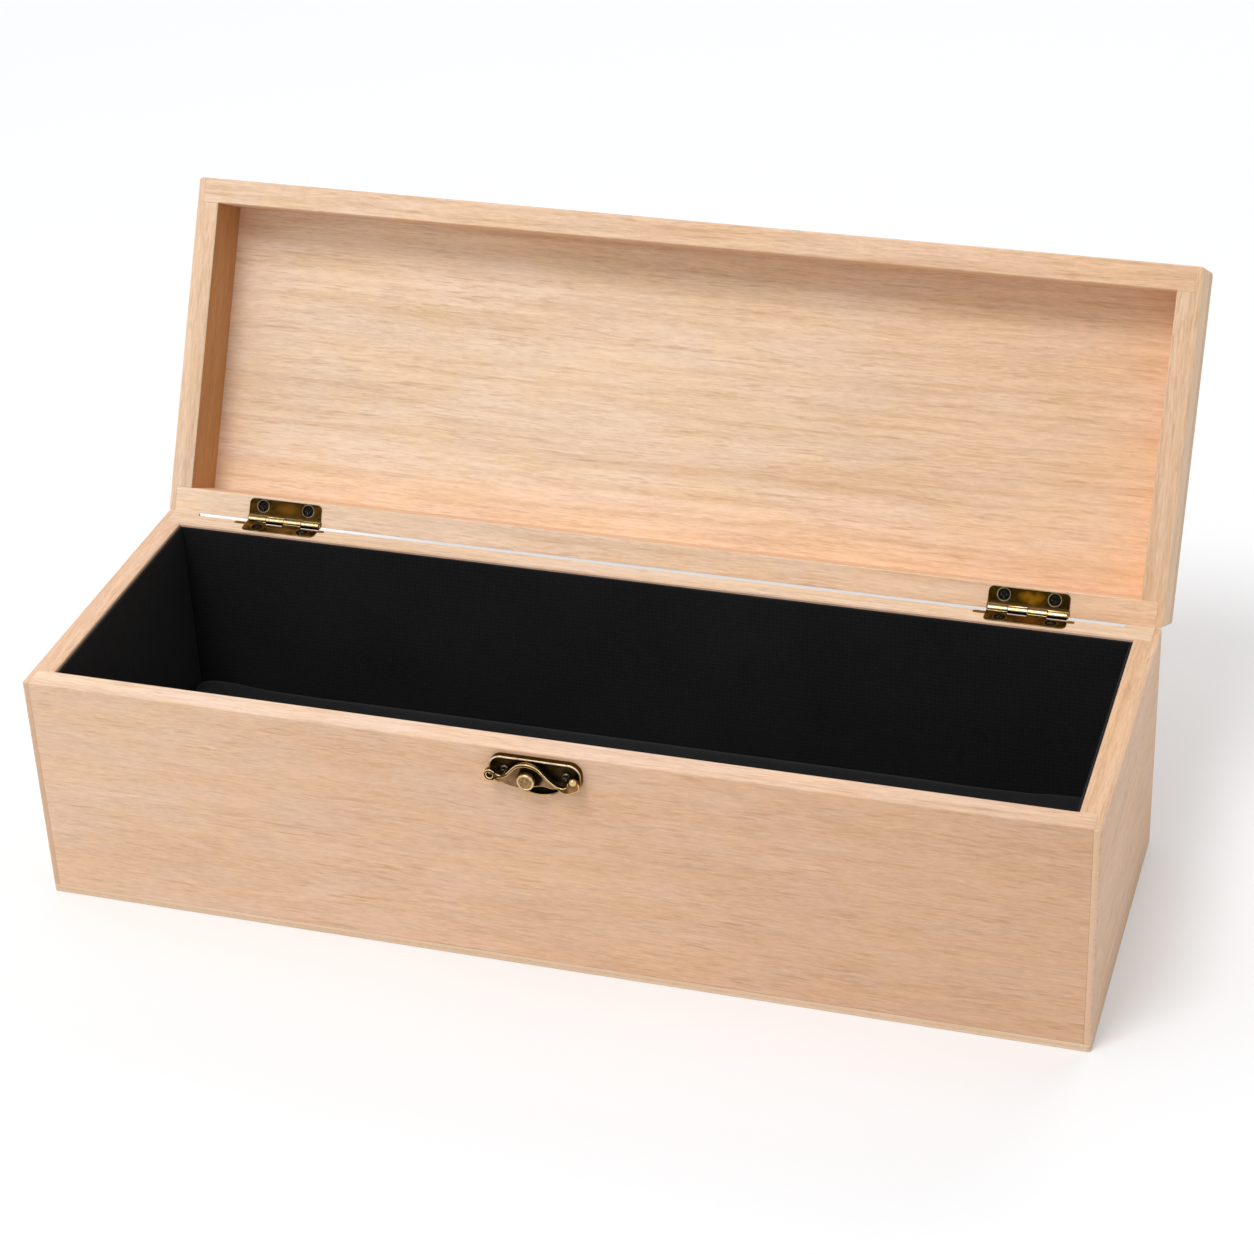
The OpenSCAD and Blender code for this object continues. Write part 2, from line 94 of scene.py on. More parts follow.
# Places on the box, taken from the frame
PIN = joint_place("lid_hinge")
PIVOT = joint_place("latch_swing")
RIM_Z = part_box("base_front_board")[1].z
FRONT_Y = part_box("base_front_board")[0].y
BACK_Y = -FRONT_Y
PLY_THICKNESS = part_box("base_bottom_panel")[1].z
HINGE_X = {side: middle_x(f"hinge_{side}_pin") for side in ("left", "right")}

# Camera, fitted to the corners of the box in the photograph
LENS = 90.68
SENSOR = 36
AZIMUTH = math.radians(18.124)
ELEVATION = math.radians(31.268)
ROLL = math.radians(-2.475)
DISTANCE = 1.0106
TARGET = Vector((0.01219, 0.0, 0.09544))
NEAREST = 0.05
FURTHEST = 50


def make_camera():
    forward = Vector((
        -math.sin(AZIMUTH) * math.cos(ELEVATION),
        math.cos(AZIMUTH) * math.cos(ELEVATION),
        -math.sin(ELEVATION),
    ))
    right = Vector((math.cos(AZIMUTH), math.sin(AZIMUTH), 0))
    up = right.cross(forward)
    turned_right = right * math.cos(ROLL) + up * math.sin(ROLL)
    turned_up = up * math.cos(ROLL) - right * math.sin(ROLL)
    camera = bpy.data.objects.new("camera", bpy.data.cameras.new("camera"))
    scene.collection.objects.link(camera)
    turn = Matrix((turned_right, turned_up, -forward)).transposed().to_4x4()
    camera.matrix_world = Matrix.Translation(TARGET - forward * DISTANCE) @ turn
    camera.data.lens = LENS
    camera.data.sensor_width = SENSOR
    camera.data.clip_start = NEAREST
    camera.data.clip_end = FURTHEST
    scene.camera = camera


LIGHTS_AIM = Vector((0, 0, 0.08))


def area_light(name, place, size, power):
    lamp = bpy.data.lights.new(name, "AREA")
    lamp.shape = "RECTANGLE"
    lamp.size, lamp.size_y = size
    lamp.energy = power
    light = bpy.data.objects.new(name, lamp)
    light.location = place
    light.rotation_euler = (LIGHTS_AIM - Vector(place)).to_track_quat("-Z", "Y").to_euler()
    light.visible_camera = False
    scene.collection.objects.link(light)


class Nodes:
    """Short names for building a node tree"""

    def __init__(self, tree):
        self.tree = tree
        tree.nodes.clear()

    def add(self, kind, **settings):
        node = self.tree.nodes.new(kind)
        for key, value in settings.items():
            setattr(node, key, value)
        return node

    def put(self, source, target):
        self.tree.links.new(source, target)

    def into(self, node, name, value):
        """Links a socket, or sets a plain value"""
        socket = node.inputs[name]
        if isinstance(value, bpy.types.NodeSocket):
            self.put(value, socket)
        else:
            socket.default_value = value

    def place(self):
        return self.add("ShaderNodeTexCoord").outputs["Object"]

    def facing(self):
        return self.add("ShaderNodeTexCoord").outputs["Normal"]

    def worn(self):
        """1 on the rounded edges of a piece made by soft_copy"""
        return self.add("ShaderNodeAttribute", attribute_name="worn").outputs["Fac"]

    def maths(self, operation, a, b=0.0, clamp=False):
        node = self.add("ShaderNodeMath", operation=operation, use_clamp=clamp)
        self.into(node, 0, a)
        self.into(node, 1, b)
        return node.outputs[0]

    def times(self, first, *others):
        for other in others:
            first = self.maths("MULTIPLY", first, other)
        return first

    def vary(self, value, noise, amount):
        """A value that a noise raises and lowers"""
        return self.maths("ADD", value, self.times(self.maths("SUBTRACT", noise, 0.5), amount))

    def vector(self, operation, a, b):
        node = self.add("ShaderNodeVectorMath", operation=operation)
        self.into(node, 0, a)
        self.into(node, 1, b)
        return node.outputs[0]

    def split(self, vector):
        node = self.add("ShaderNodeSeparateXYZ")
        self.put(vector, node.inputs[0])
        return node.outputs

    def extent(self, vector, axis):
        """How far a vector goes along an axis, either way"""
        return self.maths("ABSOLUTE", self.split(vector)[axis])

    def mapping(self, vector, place=(0, 0, 0), turn=(0, 0, 0), scale=(1, 1, 1), kind="POINT"):
        node = self.add("ShaderNodeMapping", vector_type=kind)
        self.into(node, "Vector", vector)
        if kind == "POINT":
            self.into(node, "Location", place)
        self.into(node, "Rotation", turn)
        self.into(node, "Scale", scale)
        return node.outputs[0]

    def noise(self, vector, scale, detail=2.0, rough=0.5, distortion=0.0, place=(0, 0, 0), output="Fac"):
        node = self.add("ShaderNodeTexNoise")
        self.into(node, "Vector", self.mapping(vector, place=place, scale=scale))
        self.into(node, "Scale", 1.0)
        self.into(node, "Detail", detail)
        self.into(node, "Roughness", rough)
        self.into(node, "Distortion", distortion)
        return node.outputs[output]

    def ramp(self, factor, stops, ease="LINEAR"):
        node = self.add("ShaderNodeValToRGB")
        node.color_ramp.interpolation = ease
        points = node.color_ramp.elements
        while len(points) < len(stops):
            points.new(0.5)
        for point, (place, colour) in zip(points, stops):
            point.position = place
            point.color = (*colour, 1)
        self.into(node, "Fac", factor)
        return node.outputs["Color"]

    def span(self, value, low, high, out_low=0.0, out_high=1.0, smooth=False):
        node = self.add("ShaderNodeMapRange")
        node.interpolation_type = "SMOOTHSTEP" if smooth else "LINEAR"
        self.into(node, "Value", value)
        self.into(node, "From Min", low)
        self.into(node, "From Max", high)
        self.into(node, "To Min", out_low)
        self.into(node, "To Max", out_high)
        return node.outputs["Result"]

    def mix(self, factor, a, b, blend="MIX"):
        node = self.add("ShaderNodeMix", data_type="RGBA", blend_type=blend)
        self.into(node, 0, factor)
        for index, value in ((6, a), (7, b)):
            if isinstance(value, bpy.types.NodeSocket):
                self.put(value, node.inputs[index])
            else:
                node.inputs[index].default_value = (*value, 1)
        return node.outputs[2]

    def tinted(self, colour, tint):
        return self.mix(1.0, colour, tint, "MULTIPLY")

    def reach(self, vector, centre, scale=(1, 1, 1)):
        """Distance from a centre, with each axis weighed by its scale"""
        node = self.add("ShaderNodeVectorMath", operation="LENGTH")
        self.put(self.vector("MULTIPLY", self.vector("SUBTRACT", vector, centre), scale), node.inputs[0])
        return node.outputs["Value"]

    def bump(self, height, distance, strength):
        node = self.add("ShaderNodeBump")
        self.into(node, "Height", height)
        self.into(node, "Distance", distance)
        self.into(node, "Strength", strength)
        return node.outputs["Normal"]


def new_material(name):
    material = bpy.data.materials.new(name)
    material.use_nodes = True
    n = Nodes(material.node_tree)
    shader = n.add("ShaderNodeBsdfPrincipled")
    n.out = n.add("ShaderNodeOutputMaterial").inputs[0]
    n.put(shader.outputs[0], n.out)
    return material, n, shader


# Wood

WOOD_PINK = (0.800, 0.540, 0.385)
WOOD_GOLD = (0.810, 0.530, 0.345)
WOOD_DASH = (0.560, 0.320, 0.180)
WOOD_LINE = (0.620, 0.375, 0.225)
WOOD_SHADES = ((0.2, (1.16, 1.20, 1.24)), (0.5, (1.0, 1.0, 1.0)), (0.8, (0.82, 0.75, 0.68)))
RIM_SHADES = ((0.3, (1.04, 1.05, 1.07)), (0.5, (0.99, 0.98, 0.97)), (0.72, (0.88, 0.82, 0.74)))
END_GRAIN = (0.72, 0.47, 0.315)
# Painted shade for the faces that look into the lid's recess
RECESS_PAINTED_SHADE = (0.66, 0.47, 0.26)
WOOD_GLOSS = 0.3
UNTINTED = (1, 1, 1)

# How fine each layer of the figure is, along the grain and twice across it
SWAY = (8, 22, 22)
PATCHES = (32, 95, 95)
CLOUDS = (12, 62, 62)
STREAKS = (42, 520, 520)
FIBRES = (210, 1750, 1750)
CLUSTERS = (26, 130, 130)
VESSELS = (105, 1250, 1250)
LONG_LINES = (16, 900, 900)
RIM_LINES = (10, 330, 330)
# How far the grain wanders from a straight line
SWAY_BY = (0.0, 0.006, 0.006)
# From one board's figure to the next
SEED_STEP = (0.37, 0.113, 0.071)

# Brown in the saw kerfs and on the bevel behind them: its reach in from the back face, and its depths
KERF_BROWN = (0.36, 0.155, 0.035)
KERF_IN = 3.8 * MM
KERF_BLUR = 0.2 * MM
KERF_TOP = 0.05 * MM
KERF_FLOOR = 1.2 * MM


def turned_back(n, vector, kind="POINT"):
    """A place or a direction on the open lid, turned back through the opening angle"""
    return n.mapping(vector, turn=(OPEN_ANGLE, 0, 0), kind=kind)


def painted_light_across_box(n, here, light_tints):
    """Painted light: a tint that changes from the box's left end to its right end"""
    place = n.span(n.split(here)["X"], cad_low.x, cad_high.x)
    return n.ramp(place, tuple((i / (len(light_tints) - 1), tint) for i, tint in enumerate(light_tints)))


def in_kerf(n, here):
    """1 in the saw kerfs and on the bevel behind them"""
    height = n.split(here)["Z"]
    below = n.maths("LESS_THAN", height, RIM_Z - KERF_TOP)
    behind = n.span(n.split(here)["Y"], BACK_Y - KERF_IN, BACK_Y - KERF_IN + KERF_BLUR)
    return n.times(below, behind, n.maths("GREATER_THAN", height, RIM_Z - KERF_FLOOR))


def wood(
    name, seed, lid, along="x", light_tints=(UNTINTED,), rim_light_tint=UNTINTED, outer=None, painted_shade_facing=None, kerf=False
):
    """
    Bare boards. The tints are painted light, running from the left end to the right, and rim_light_tint is
    painted light on the rims; outer is for what doesn't face the lid's open side, and inward is the
    direction in which a recess wall looks, with the lid closed, where shade is painted on it.
    """
    material, n, shader = new_material(name)
    here = n.place()
    facing = n.facing()
    closed = turned_back(n, here) if lid else here
    facing = turned_back(n, facing, kind="VECTOR") if lid else facing
    grain = n.mapping(closed, turn=(0, 0, math.pi / 2)) if along == "y" else closed
    grain = n.vector("ADD", grain, tuple(step * seed for step in SEED_STEP))
    sway = n.vector("SUBTRACT", n.noise(grain, SWAY, output="Color"), (0.5, 0.5, 0.5))
    grain = n.vector("ADD", grain, n.vector("MULTIPLY", sway, SWAY_BY))

    # Broad soft patches, pinker or yellower, lighter or darker
    hue = n.span(n.noise(grain, PATCHES, detail=3, rough=0.55), 0.35, 0.65, smooth=True)
    cloudy = n.noise(grain, CLOUDS, detail=2, place=(1.3, 0.2, 2.7))
    streaks = n.noise(grain, STREAKS, detail=3, rough=0.6)
    fibres = n.noise(grain, FIBRES, detail=2, rough=0.7)
    tone = 0.0
    for layer, weight in ((cloudy, 0.30), (streaks, 0.40), (fibres, 0.70)):
        tone = n.vary(tone, layer, weight)
    shade = n.ramp(n.maths("ADD", tone, 0.5, clamp=True), WOOD_SHADES)
    colour = n.tinted(n.mix(hue, WOOD_PINK, WOOD_GOLD), shade)

    # Short dark vessels in clusters, and a few long lines
    clusters = n.span(n.noise(grain, CLUSTERS, place=(0.5, 4.2, 1.9)), 0.38, 0.62, 0.15, 1.0)
    vessels = n.noise(grain, VESSELS, detail=1, place=(3.1, 1.7, 0.4))
    vessels = n.times(n.span(vessels, 0.54, 0.72, smooth=True), clusters)
    lines = n.noise(grain, LONG_LINES, detail=1, place=(7.4, 0.9, 5.5))
    lines = n.span(lines, 0.64, 0.80, smooth=True)
    colour = n.mix(n.times(vessels, 0.50), colour, WOOD_DASH)
    colour = n.mix(n.times(lines, 0.40), colour, WOOD_LINE)

    # Rims show straighter and coarser lines.
    rim = n.span(n.extent(facing, "Z"), 0.8, 0.95)
    coarse = n.ramp(n.noise(grain, RIM_LINES, detail=3, rough=0.6, place=(2.2, 6.1, 0.7)), RIM_SHADES)
    # The rims also take a painted light tint of their own.
    colour = n.mix(rim, colour, n.tinted(colour, n.tinted(coarse, rim_light_tint)))

    # End grain is finer and more even.
    ends = n.extent(facing, "Y" if along == "y" else "X")
    colour = n.mix(n.span(ends, 0.85, 0.97, 0.0, 0.7), colour, END_GRAIN)

    if painted_shade_facing:
        # Painted shade where a face looks into the recess, darker than the outside.
        toward = n.add("ShaderNodeVectorMath", operation="DOT_PRODUCT")
        n.into(toward, 0, facing)
        n.into(toward, 1, painted_shade_facing)
        shaded_walls = n.span(toward.outputs["Value"], 0.8, 0.95)
        colour = n.mix(shaded_walls, colour, n.tinted(colour, RECESS_PAINTED_SHADE))
    if kerf:
        # The saw left scorched wood below the rim.
        colour = n.mix(in_kerf(n, here), colour, KERF_BROWN)
    # Painted light: lighter towards the box's left end and darker towards its right, or one tint for the
    # board
    tint = painted_light_across_box(n, here, light_tints) if len(light_tints) > 1 else light_tints[0]
    if outer:
        tint = n.mix(n.span(n.split(facing)["Z"], -0.9, -0.5), tint, outer)

    n.put(n.tinted(colour, tint), shader.inputs["Base Color"])
    n.put(n.span(streaks, 0.3, 0.7, 0.52, 0.68), shader.inputs["Roughness"])
    shader.inputs["Specular IOR Level"].default_value = WOOD_GLOSS
    height = n.maths("ADD", n.times(streaks, 0.5), n.times(fibres, 0.5))
    height = n.maths("SUBTRACT", height, n.times(vessels, 0.5))
    n.put(n.bump(height, 0.05 * MM, 0.8), shader.inputs["Normal"])
    return material


OUTER_PLY = ((0.25, (0.92, 0.70, 0.52)), (0.55, (0.87, 0.62, 0.43)), (0.9, (0.72, 0.47, 0.30)))
INNER_PLY = ((0.25, (0.87, 0.63, 0.45)), (0.6, (0.79, 0.55, 0.37)), (0.95, (0.64, 0.41, 0.26)))
PLY_STREAKS = (24, 520, 520)
PLY_CROSSED = (520, 24, 520)
# Where the middle ply begins and ends, with the glue lines' blur, as shares of the panel's thickness
CORE_BELOW = (0.32, 0.36)
CORE_ABOVE = (0.68, 0.64)
LINED_BLACK = (0.012, 0.012, 0.013)


def plywood(name):
    """Three plies: faint lines along the edges, and the long grain of the outer ply underneath"""
    material, n, shader = new_material(name)
    here = n.place()
    streaks = n.noise(here, PLY_STREAKS, detail=4, rough=0.6)
    crossed = n.noise(here, PLY_CROSSED, detail=4, rough=0.6, place=(4, 1, 2))
    height = n.split(here)["Z"]
    core = n.times(*(
        n.span(height, *(share * PLY_THICKNESS for share in shares)) for shares in (CORE_BELOW, CORE_ABOVE)
    ))
    plies = n.mix(core, n.ramp(streaks, OUTER_PLY), n.ramp(crossed, INNER_PLY))
    # Its upper side is blackened under the foam bed.
    lined = n.span(n.split(n.facing())["Z"], 0.8, 0.9)
    n.put(n.mix(lined, plies, LINED_BLACK), shader.inputs["Base Color"])
    shader.inputs["Roughness"].default_value = 0.65
    shader.inputs["Specular IOR Level"].default_value = WOOD_GLOSS
    n.put(n.bump(streaks, 0.06 * MM, 0.8), shader.inputs["Normal"])
    return material


# Cloth

CLOTH_BLACKS = ((0.35, (0.0055, 0.0055, 0.006)), (0.9, (0.019, 0.019, 0.021)))
THREADS = 420.0
FUZZ = (1500,) * 3
CLOTH_CLOUDS = (22,) * 3


def cloth(name):
    material, n, shader = new_material(name)
    here = n.place()
    threads = []
    for angle in (0.0, math.pi / 2):
        wave = n.add("ShaderNodeTexWave", wave_type="BANDS", bands_direction="DIAGONAL")
        n.into(wave, "Vector", n.mapping(here, turn=(angle, angle / 2, angle)))
        n.into(wave, "Scale", THREADS)
        n.into(wave, "Distortion", 0.8)
        threads.append(wave.outputs["Fac"])
    weave = n.maths("MAXIMUM", *threads)
    fuzz = n.noise(here, FUZZ, detail=2)
    cloudy = n.noise(here, CLOTH_CLOUDS, detail=3)
    tone = n.maths("ADD", n.times(weave, 0.25), n.times(fuzz, 0.45))
    tone = n.maths("ADD", tone, n.times(cloudy, 0.5))
    n.put(n.ramp(tone, CLOTH_BLACKS), shader.inputs["Base Color"])
    shader.inputs["Roughness"].default_value = 0.92
    shader.inputs["Specular IOR Level"].default_value = 0.1
    shader.inputs["Sheen Weight"].default_value = 0.06
    shader.inputs["Sheen Roughness"].default_value = 0.5
    n.put(n.bump(n.maths("ADD", n.times(weave, 0.5), fuzz), 0.15 * MM, 0.7), shader.inputs["Normal"])
    return material


# Metal

BRASS_BRIGHT = (0.86, 0.62, 0.30)
BRASS_GOLD = (0.56, 0.38, 0.15)
HIGHLIGHT_SILVER = (0.88, 0.72, 0.50)
BRASS_DARK = (0.020, 0.011, 0.002)
BRASS_BLACK = (0.008, 0.005, 0.003)
EDGE_TINT = (1.0, 0.8, 0.55)
STAINS = (260,) * 3
SPECKS = (1500,) * 3
METAL_SEED_STEP = (0.31, 0.17, 0.23)


def metal(name, seed):
    """A metal whose stains and specks the callers mix their colours by"""
    material, n, shader = new_material(name)
    shader.inputs["Metallic"].default_value = 1.0
    shader.inputs["Specular Tint"].default_value = (*EDGE_TINT, 1)
    here = n.place()
    spot = n.vector("ADD", here, tuple(step * seed for step in METAL_SEED_STEP))
    stains = n.noise(spot, STAINS, detail=4, rough=0.6, distortion=0.5)
    specks = n.noise(spot, SPECKS, detail=3, rough=0.6)
    return material, n, shader, here, stains, specks


def metal_surface(n, shader, colour, rough, rough_noise, relief_noise, relief, strength):
    """Sets a metal's colour, its roughness between two values, and the depth and strength of its relief"""
    n.put(colour, shader.inputs["Base Color"])
    n.put(n.span(rough_noise, 0.3, 0.7, *rough), shader.inputs["Roughness"])
    n.put(n.bump(relief_noise, relief, strength), shader.inputs["Normal"])


def mottled(n, noise, colours, low=0.35, high=0.65):
    """Two colours, mixed by a noise"""
    return n.mix(n.span(noise, low, high), *colours)


def rubbed(n, stains, low=0.34, high=0.52):
    """How much of an edge is rubbed bright"""
    return n.times(n.worn(), n.span(stains, low, high, 0.35, 1.0))


# A hinge's screws, dishes and cut-outs, measured from the middle of its pin
SCREW_X = 8.4 * MM
SCREW_OUT = 4.9 * MM
DISH_R = 2.18 * MM
NOTCH_OUT = 3.0 * MM
NOTCH_BAND = 0.3 * MM
BARREL_OUT = (1.35 * MM, 1.45 * MM)
BY_PIN = (-2.6 * MM, -1.6 * MM)
# Where a leaf is handled most, and how far that reaches along the leaf and across it
HANDLED = (1.0 * MM, -4.6 * MM, 0)
HANDLED_SPREAD = (1 / (5 * MM), 1 / (2.6 * MM), 0)

NOTCH_PAINTED_HIGHLIGHT = (0.92, 0.84, 0.70)
PIN_PAINTED_SHADE = (0.12, 0.065, 0.018)
DISH_RING = (0.42, 0.36, 0.24)
# The knuckles' golds, lightened to a painted highlight on their upper side, and painted shade for their
# lower side
KNUCKLE_GOLDS_AND_HIGHLIGHT = ((0.70, 0.50, 0.22), (0.95, 0.76, 0.44))
KNUCKLE_PAINTED_SHADE = (0.020, 0.010, 0.002)
# Each leaf's tarnished colour and its handled middle, by side and by whether it is on the lid
LEAF_COLOURS = {
    ("left", True): ((0.090, 0.042, 0.006), (0.17, 0.075, 0.010)),
    ("right", True): ((0.046, 0.022, 0.003), (0.27, 0.115, 0.006)),
    ("left", False): ((0.36, 0.22, 0.075), (0.44, 0.29, 0.11)),
    ("right", False): ((0.19, 0.105, 0.028), (0.25, 0.145, 0.05)),
}


def dished(n, local, leaf, stains):
    """A leaf with an uneven bright ring round each pressed dish, and near black inside it"""
    either_screw = n.add("ShaderNodeCombineXYZ")
    n.put(n.extent(local, "X"), either_screw.inputs["X"])
    n.put(n.split(local)["Y"], either_screw.inputs["Y"])
    ring = n.reach(either_screw.outputs[0], (SCREW_X, -SCREW_OUT, 0), (1, 1, 0))
    leaf = n.mix(n.span(ring, DISH_R, DISH_R - 0.15 * MM), leaf, BRASS_BLACK)
    bright = n.times(
        n.span(ring, DISH_R - 0.30 * MM, DISH_R - 0.05 * MM),
        n.span(ring, DISH_R + 0.22 * MM, DISH_R + 0.05 * MM),
        n.span(stains, 0.35, 0.6, 0.2, 0.65),
    )
    return n.mix(bright, leaf, DISH_RING)


def hinge_brass(name, side, lid, seed):
    material, n, shader, here, stains, specks = metal(name, seed)
    local = n.vector("SUBTRACT", here, (HINGE_X[side], PIN.y, PIN.z))
    if lid:
        local = turned_back(n, local)
    patina, handled = LEAF_COLOURS[side, lid]
    leaf = mottled(n, stains, (BRASS_DARK, patina), 0.38)
    # Painted shade on the leaf beside the knuckles
    leaf = n.mix(n.span(n.split(local)["Y"], *BY_PIN, 0.0, 0.8), leaf, PIN_PAINTED_SHADE)
    # Handled most in the middle of the leaf, darkest towards its screws
    middle = n.vary(n.reach(local, HANDLED, HANDLED_SPREAD), stains, 1.8)
    leaf = n.mix(n.times(n.span(middle, 0.1, 1.2, 1.0, 0.0, smooth=True), 0.85), leaf, handled)
    leaf = dished(n, local, leaf, stains)
    # Turned knuckles, with a painted highlight above and painted shade below
    barrel = n.span(n.reach(local, (0, 0, 0), (0, 1, 1)), *BARREL_OUT, 1.0, 0.0)
    upper = n.span(n.split(n.facing())["Z"], 0.25, 0.65, smooth=True)
    turned = n.mix(upper, KNUCKLE_PAINTED_SHADE, mottled(n, specks, KNUCKLE_GOLDS_AND_HIGHLIGHT, 0.3, 0.7))
    colour = n.mix(barrel, leaf, turned)
    colour = n.mix(n.times(rubbed(n, stains), 0.7), colour, BRASS_GOLD)
    if not lid:
        # A painted highlight on the rounded edges of the cut-outs under the lid's knuckles
        notch = n.maths("ABSOLUTE", n.maths("ADD", n.split(local)["Y"], NOTCH_OUT))
        notch_highlight = n.times(n.worn(), n.maths("LESS_THAN", notch, NOTCH_BAND))
        colour = n.mix(notch_highlight, colour, NOTCH_PAINTED_HIGHLIGHT)
    metal_surface(n, shader, colour, (0.26, 0.42), specks, specks, 0.03 * MM, 0.5)
    return material


PIN_GOLDS = ((0.30, 0.20, 0.08), (0.62, 0.43, 0.18))


def pin_brass(name, seed):
    material, n, shader, here, stains, specks = metal(name, seed)
    colour = n.mix(rubbed(n, stains), mottled(n, specks, PIN_GOLDS, 0.3, 0.7), BRASS_BRIGHT)
    metal_surface(n, shader, colour, (0.25, 0.4), specks, stains, 0.03 * MM, 0.5)
    return material


def latch_depth(n, here):
    """Distance in front of the box's front face"""
    return n.maths("SUBTRACT", FRONT_Y, n.split(here)["Y"])


def round_pivot(n, here):
    """Places on the latch from its pivot: across to the right, depth, and up"""
    return n.vector("SUBTRACT", here, PIVOT)


# Depths at which the latch plate's parts meet
PLATE_FLOOR = (1.0 * MM, 1.5 * MM)
PLATE_FOOT = (1.2 * MM, 0.9 * MM)
PLATE_CREST = (1.95 * MM, 2.1 * MM)
# Heights above the pivot between which the plate's colours change
CREST_PAINTED_HIGHLIGHT = (3.0 * MM, 5.6 * MM)
INSIDE_PAINTED_SHADE = (-2.0 * MM, -3.0 * MM)
LOBE_TOP = (-3.2 * MM, -3.8 * MM)
# The hollow of the plate's lobe, from the pivot, where shade is painted under the arm
LOBE_CENTRE = (3.4 * MM, 0, 5.3 * MM)
LOBE_R = 10.9 * MM
LOBE_BLUR = 0.2 * MM

PLATE_OUTSIDE = ((0.040, 0.015, 0.002), (0.12, 0.050, 0.010))
PLATE_INSIDE = (BRASS_BLACK, (0.040, 0.030, 0.016))
PLATE_PAINTED_SHADE = (0.002, 0.0015, 0.001)
CREST_DULL = (0.20, 0.12, 0.045)


def plate_brass(name, seed):
    material, n, shader, here, stains, specks = metal(name, seed)
    depth = latch_depth(n, here)
    around = round_pivot(n, here)
    up = n.split(around)["Z"]
    outside = mottled(n, stains, PLATE_OUTSIDE)
    inside = mottled(n, stains, PLATE_INSIDE, 0.4, 0.7)
    # Painted shade in the plate's hollow, darker towards its bottom
    inside = n.mix(n.span(up, *INSIDE_PAINTED_SHADE), inside, PLATE_PAINTED_SHADE)
    colour = n.mix(n.span(depth, *PLATE_FLOOR, 1.0, 0.0), outside, inside)
    sides = n.span(n.extent(n.facing(), "Y"), 0.3, 0.1)
    colour = n.mix(n.times(sides, n.span(depth, *PLATE_FOOT)), colour, outside)
    # Painted shade in the lobe's hollow under the arm
    lobe = n.span(n.reach(around, LOBE_CENTRE, (1, 0, 1)), LOBE_R + LOBE_BLUR, LOBE_R)
    colour = n.mix(n.times(lobe, n.span(up, *LOBE_TOP)), colour, BRASS_BLACK)
    # The rim's front is polished gold, with a painted highlight brightest along its straight top.
    crest = n.mix(n.span(up, *CREST_PAINTED_HIGHLIGHT), BRASS_GOLD, HIGHLIGHT_SILVER)
    crest = mottled(n, stains, (CREST_DULL, crest), 0.30, 0.50)
    colour = n.mix(n.span(depth, *PLATE_CREST), colour, crest)
    metal_surface(n, shader, colour, (0.28, 0.5), specks, specks, 0.04 * MM, 0.6)
    return material


# Depths at which the latch arm's parts meet
ARM_UNDER = (3.1 * MM, 2.8 * MM)
WEB_FRONT = (3.35 * MM, 3.7 * MM)
BALL_FRONT = (4.25 * MM, 4.45 * MM)
# To the right of the pivot: where the ball's side begins, and the hook's round end
BALL_SIDE = (0, 1 * MM)
HOOK_END = (13.2 * MM, 14.2 * MM)
# The middle of the painted shadow in the corner above and beside the rivet, from the pivot
WEB_PAINTED_SHADOW = (1.3 * MM, 0, 1.3 * MM)

WEB_ROSES = ((0.14, 0.078, 0.040), (0.29, 0.17, 0.092))
BAND_BROWNS = ((0.050, 0.024, 0.006), (0.13, 0.075, 0.022))
HOOK_ROSES = ((0.20, 0.098, 0.040), (0.38, 0.20, 0.085))
UNDER_BROWN = (0.05, 0.030, 0.014)
BALL_GOLD = (0.70, 0.50, 0.24)


def arm_brass(name, seed):
    material, n, shader, here, stains, specks = metal(name, seed)
    depth = latch_depth(n, here)
    around = round_pivot(n, here)
    web = mottled(n, stains, WEB_ROSES)
    # Painted shadow of the rivet and the band on the web, in the corner above and beside the rivet.
    corner = n.vary(n.reach(around, WEB_PAINTED_SHADOW, (1 / MM, 0, 1 / MM)), stains, 2.5)
    web = n.mix(n.span(corner, 3.3, 4.5, 1.0, 0.0, smooth=True), web, BRASS_BLACK)
    right = n.split(around)["X"]
    # The hook's round end is rosy like the web.
    hook = n.span(right, *HOOK_END)
    band = n.mix(hook, mottled(n, stains, BAND_BROWNS), mottled(n, stains, HOOK_ROSES))
    colour = n.mix(n.span(depth, *WEB_FRONT), web, band)
    colour = n.mix(n.span(depth, *ARM_UNDER), colour, UNDER_BROWN)
    ball = n.times(n.span(depth, *BALL_FRONT), n.span(right, *BALL_SIDE))
    colour = n.mix(ball, colour, BALL_GOLD)
    colour = n.mix(rubbed(n, stains, 0.3, 0.45), colour, BRASS_BRIGHT)
    metal_surface(n, shader, colour, (0.24, 0.42), specks, specks, 0.04 * MM, 0.6)
    return material


# How far from the button's middle its bright ring begins
BUTTON_RING = (2.15 * MM, 2.25 * MM)
RIVET_MOTTLE = (1700,) * 3

RIVET_FACES = ((0.20, 0.11, 0.050), (0.40, 0.25, 0.13))
RIVET_SIDES = ((0.46, 0.31, 0.13), (0.80, 0.60, 0.32))
RIVET_RINGS = ((0.50, 0.34, 0.14), (0.84, 0.64, 0.32))


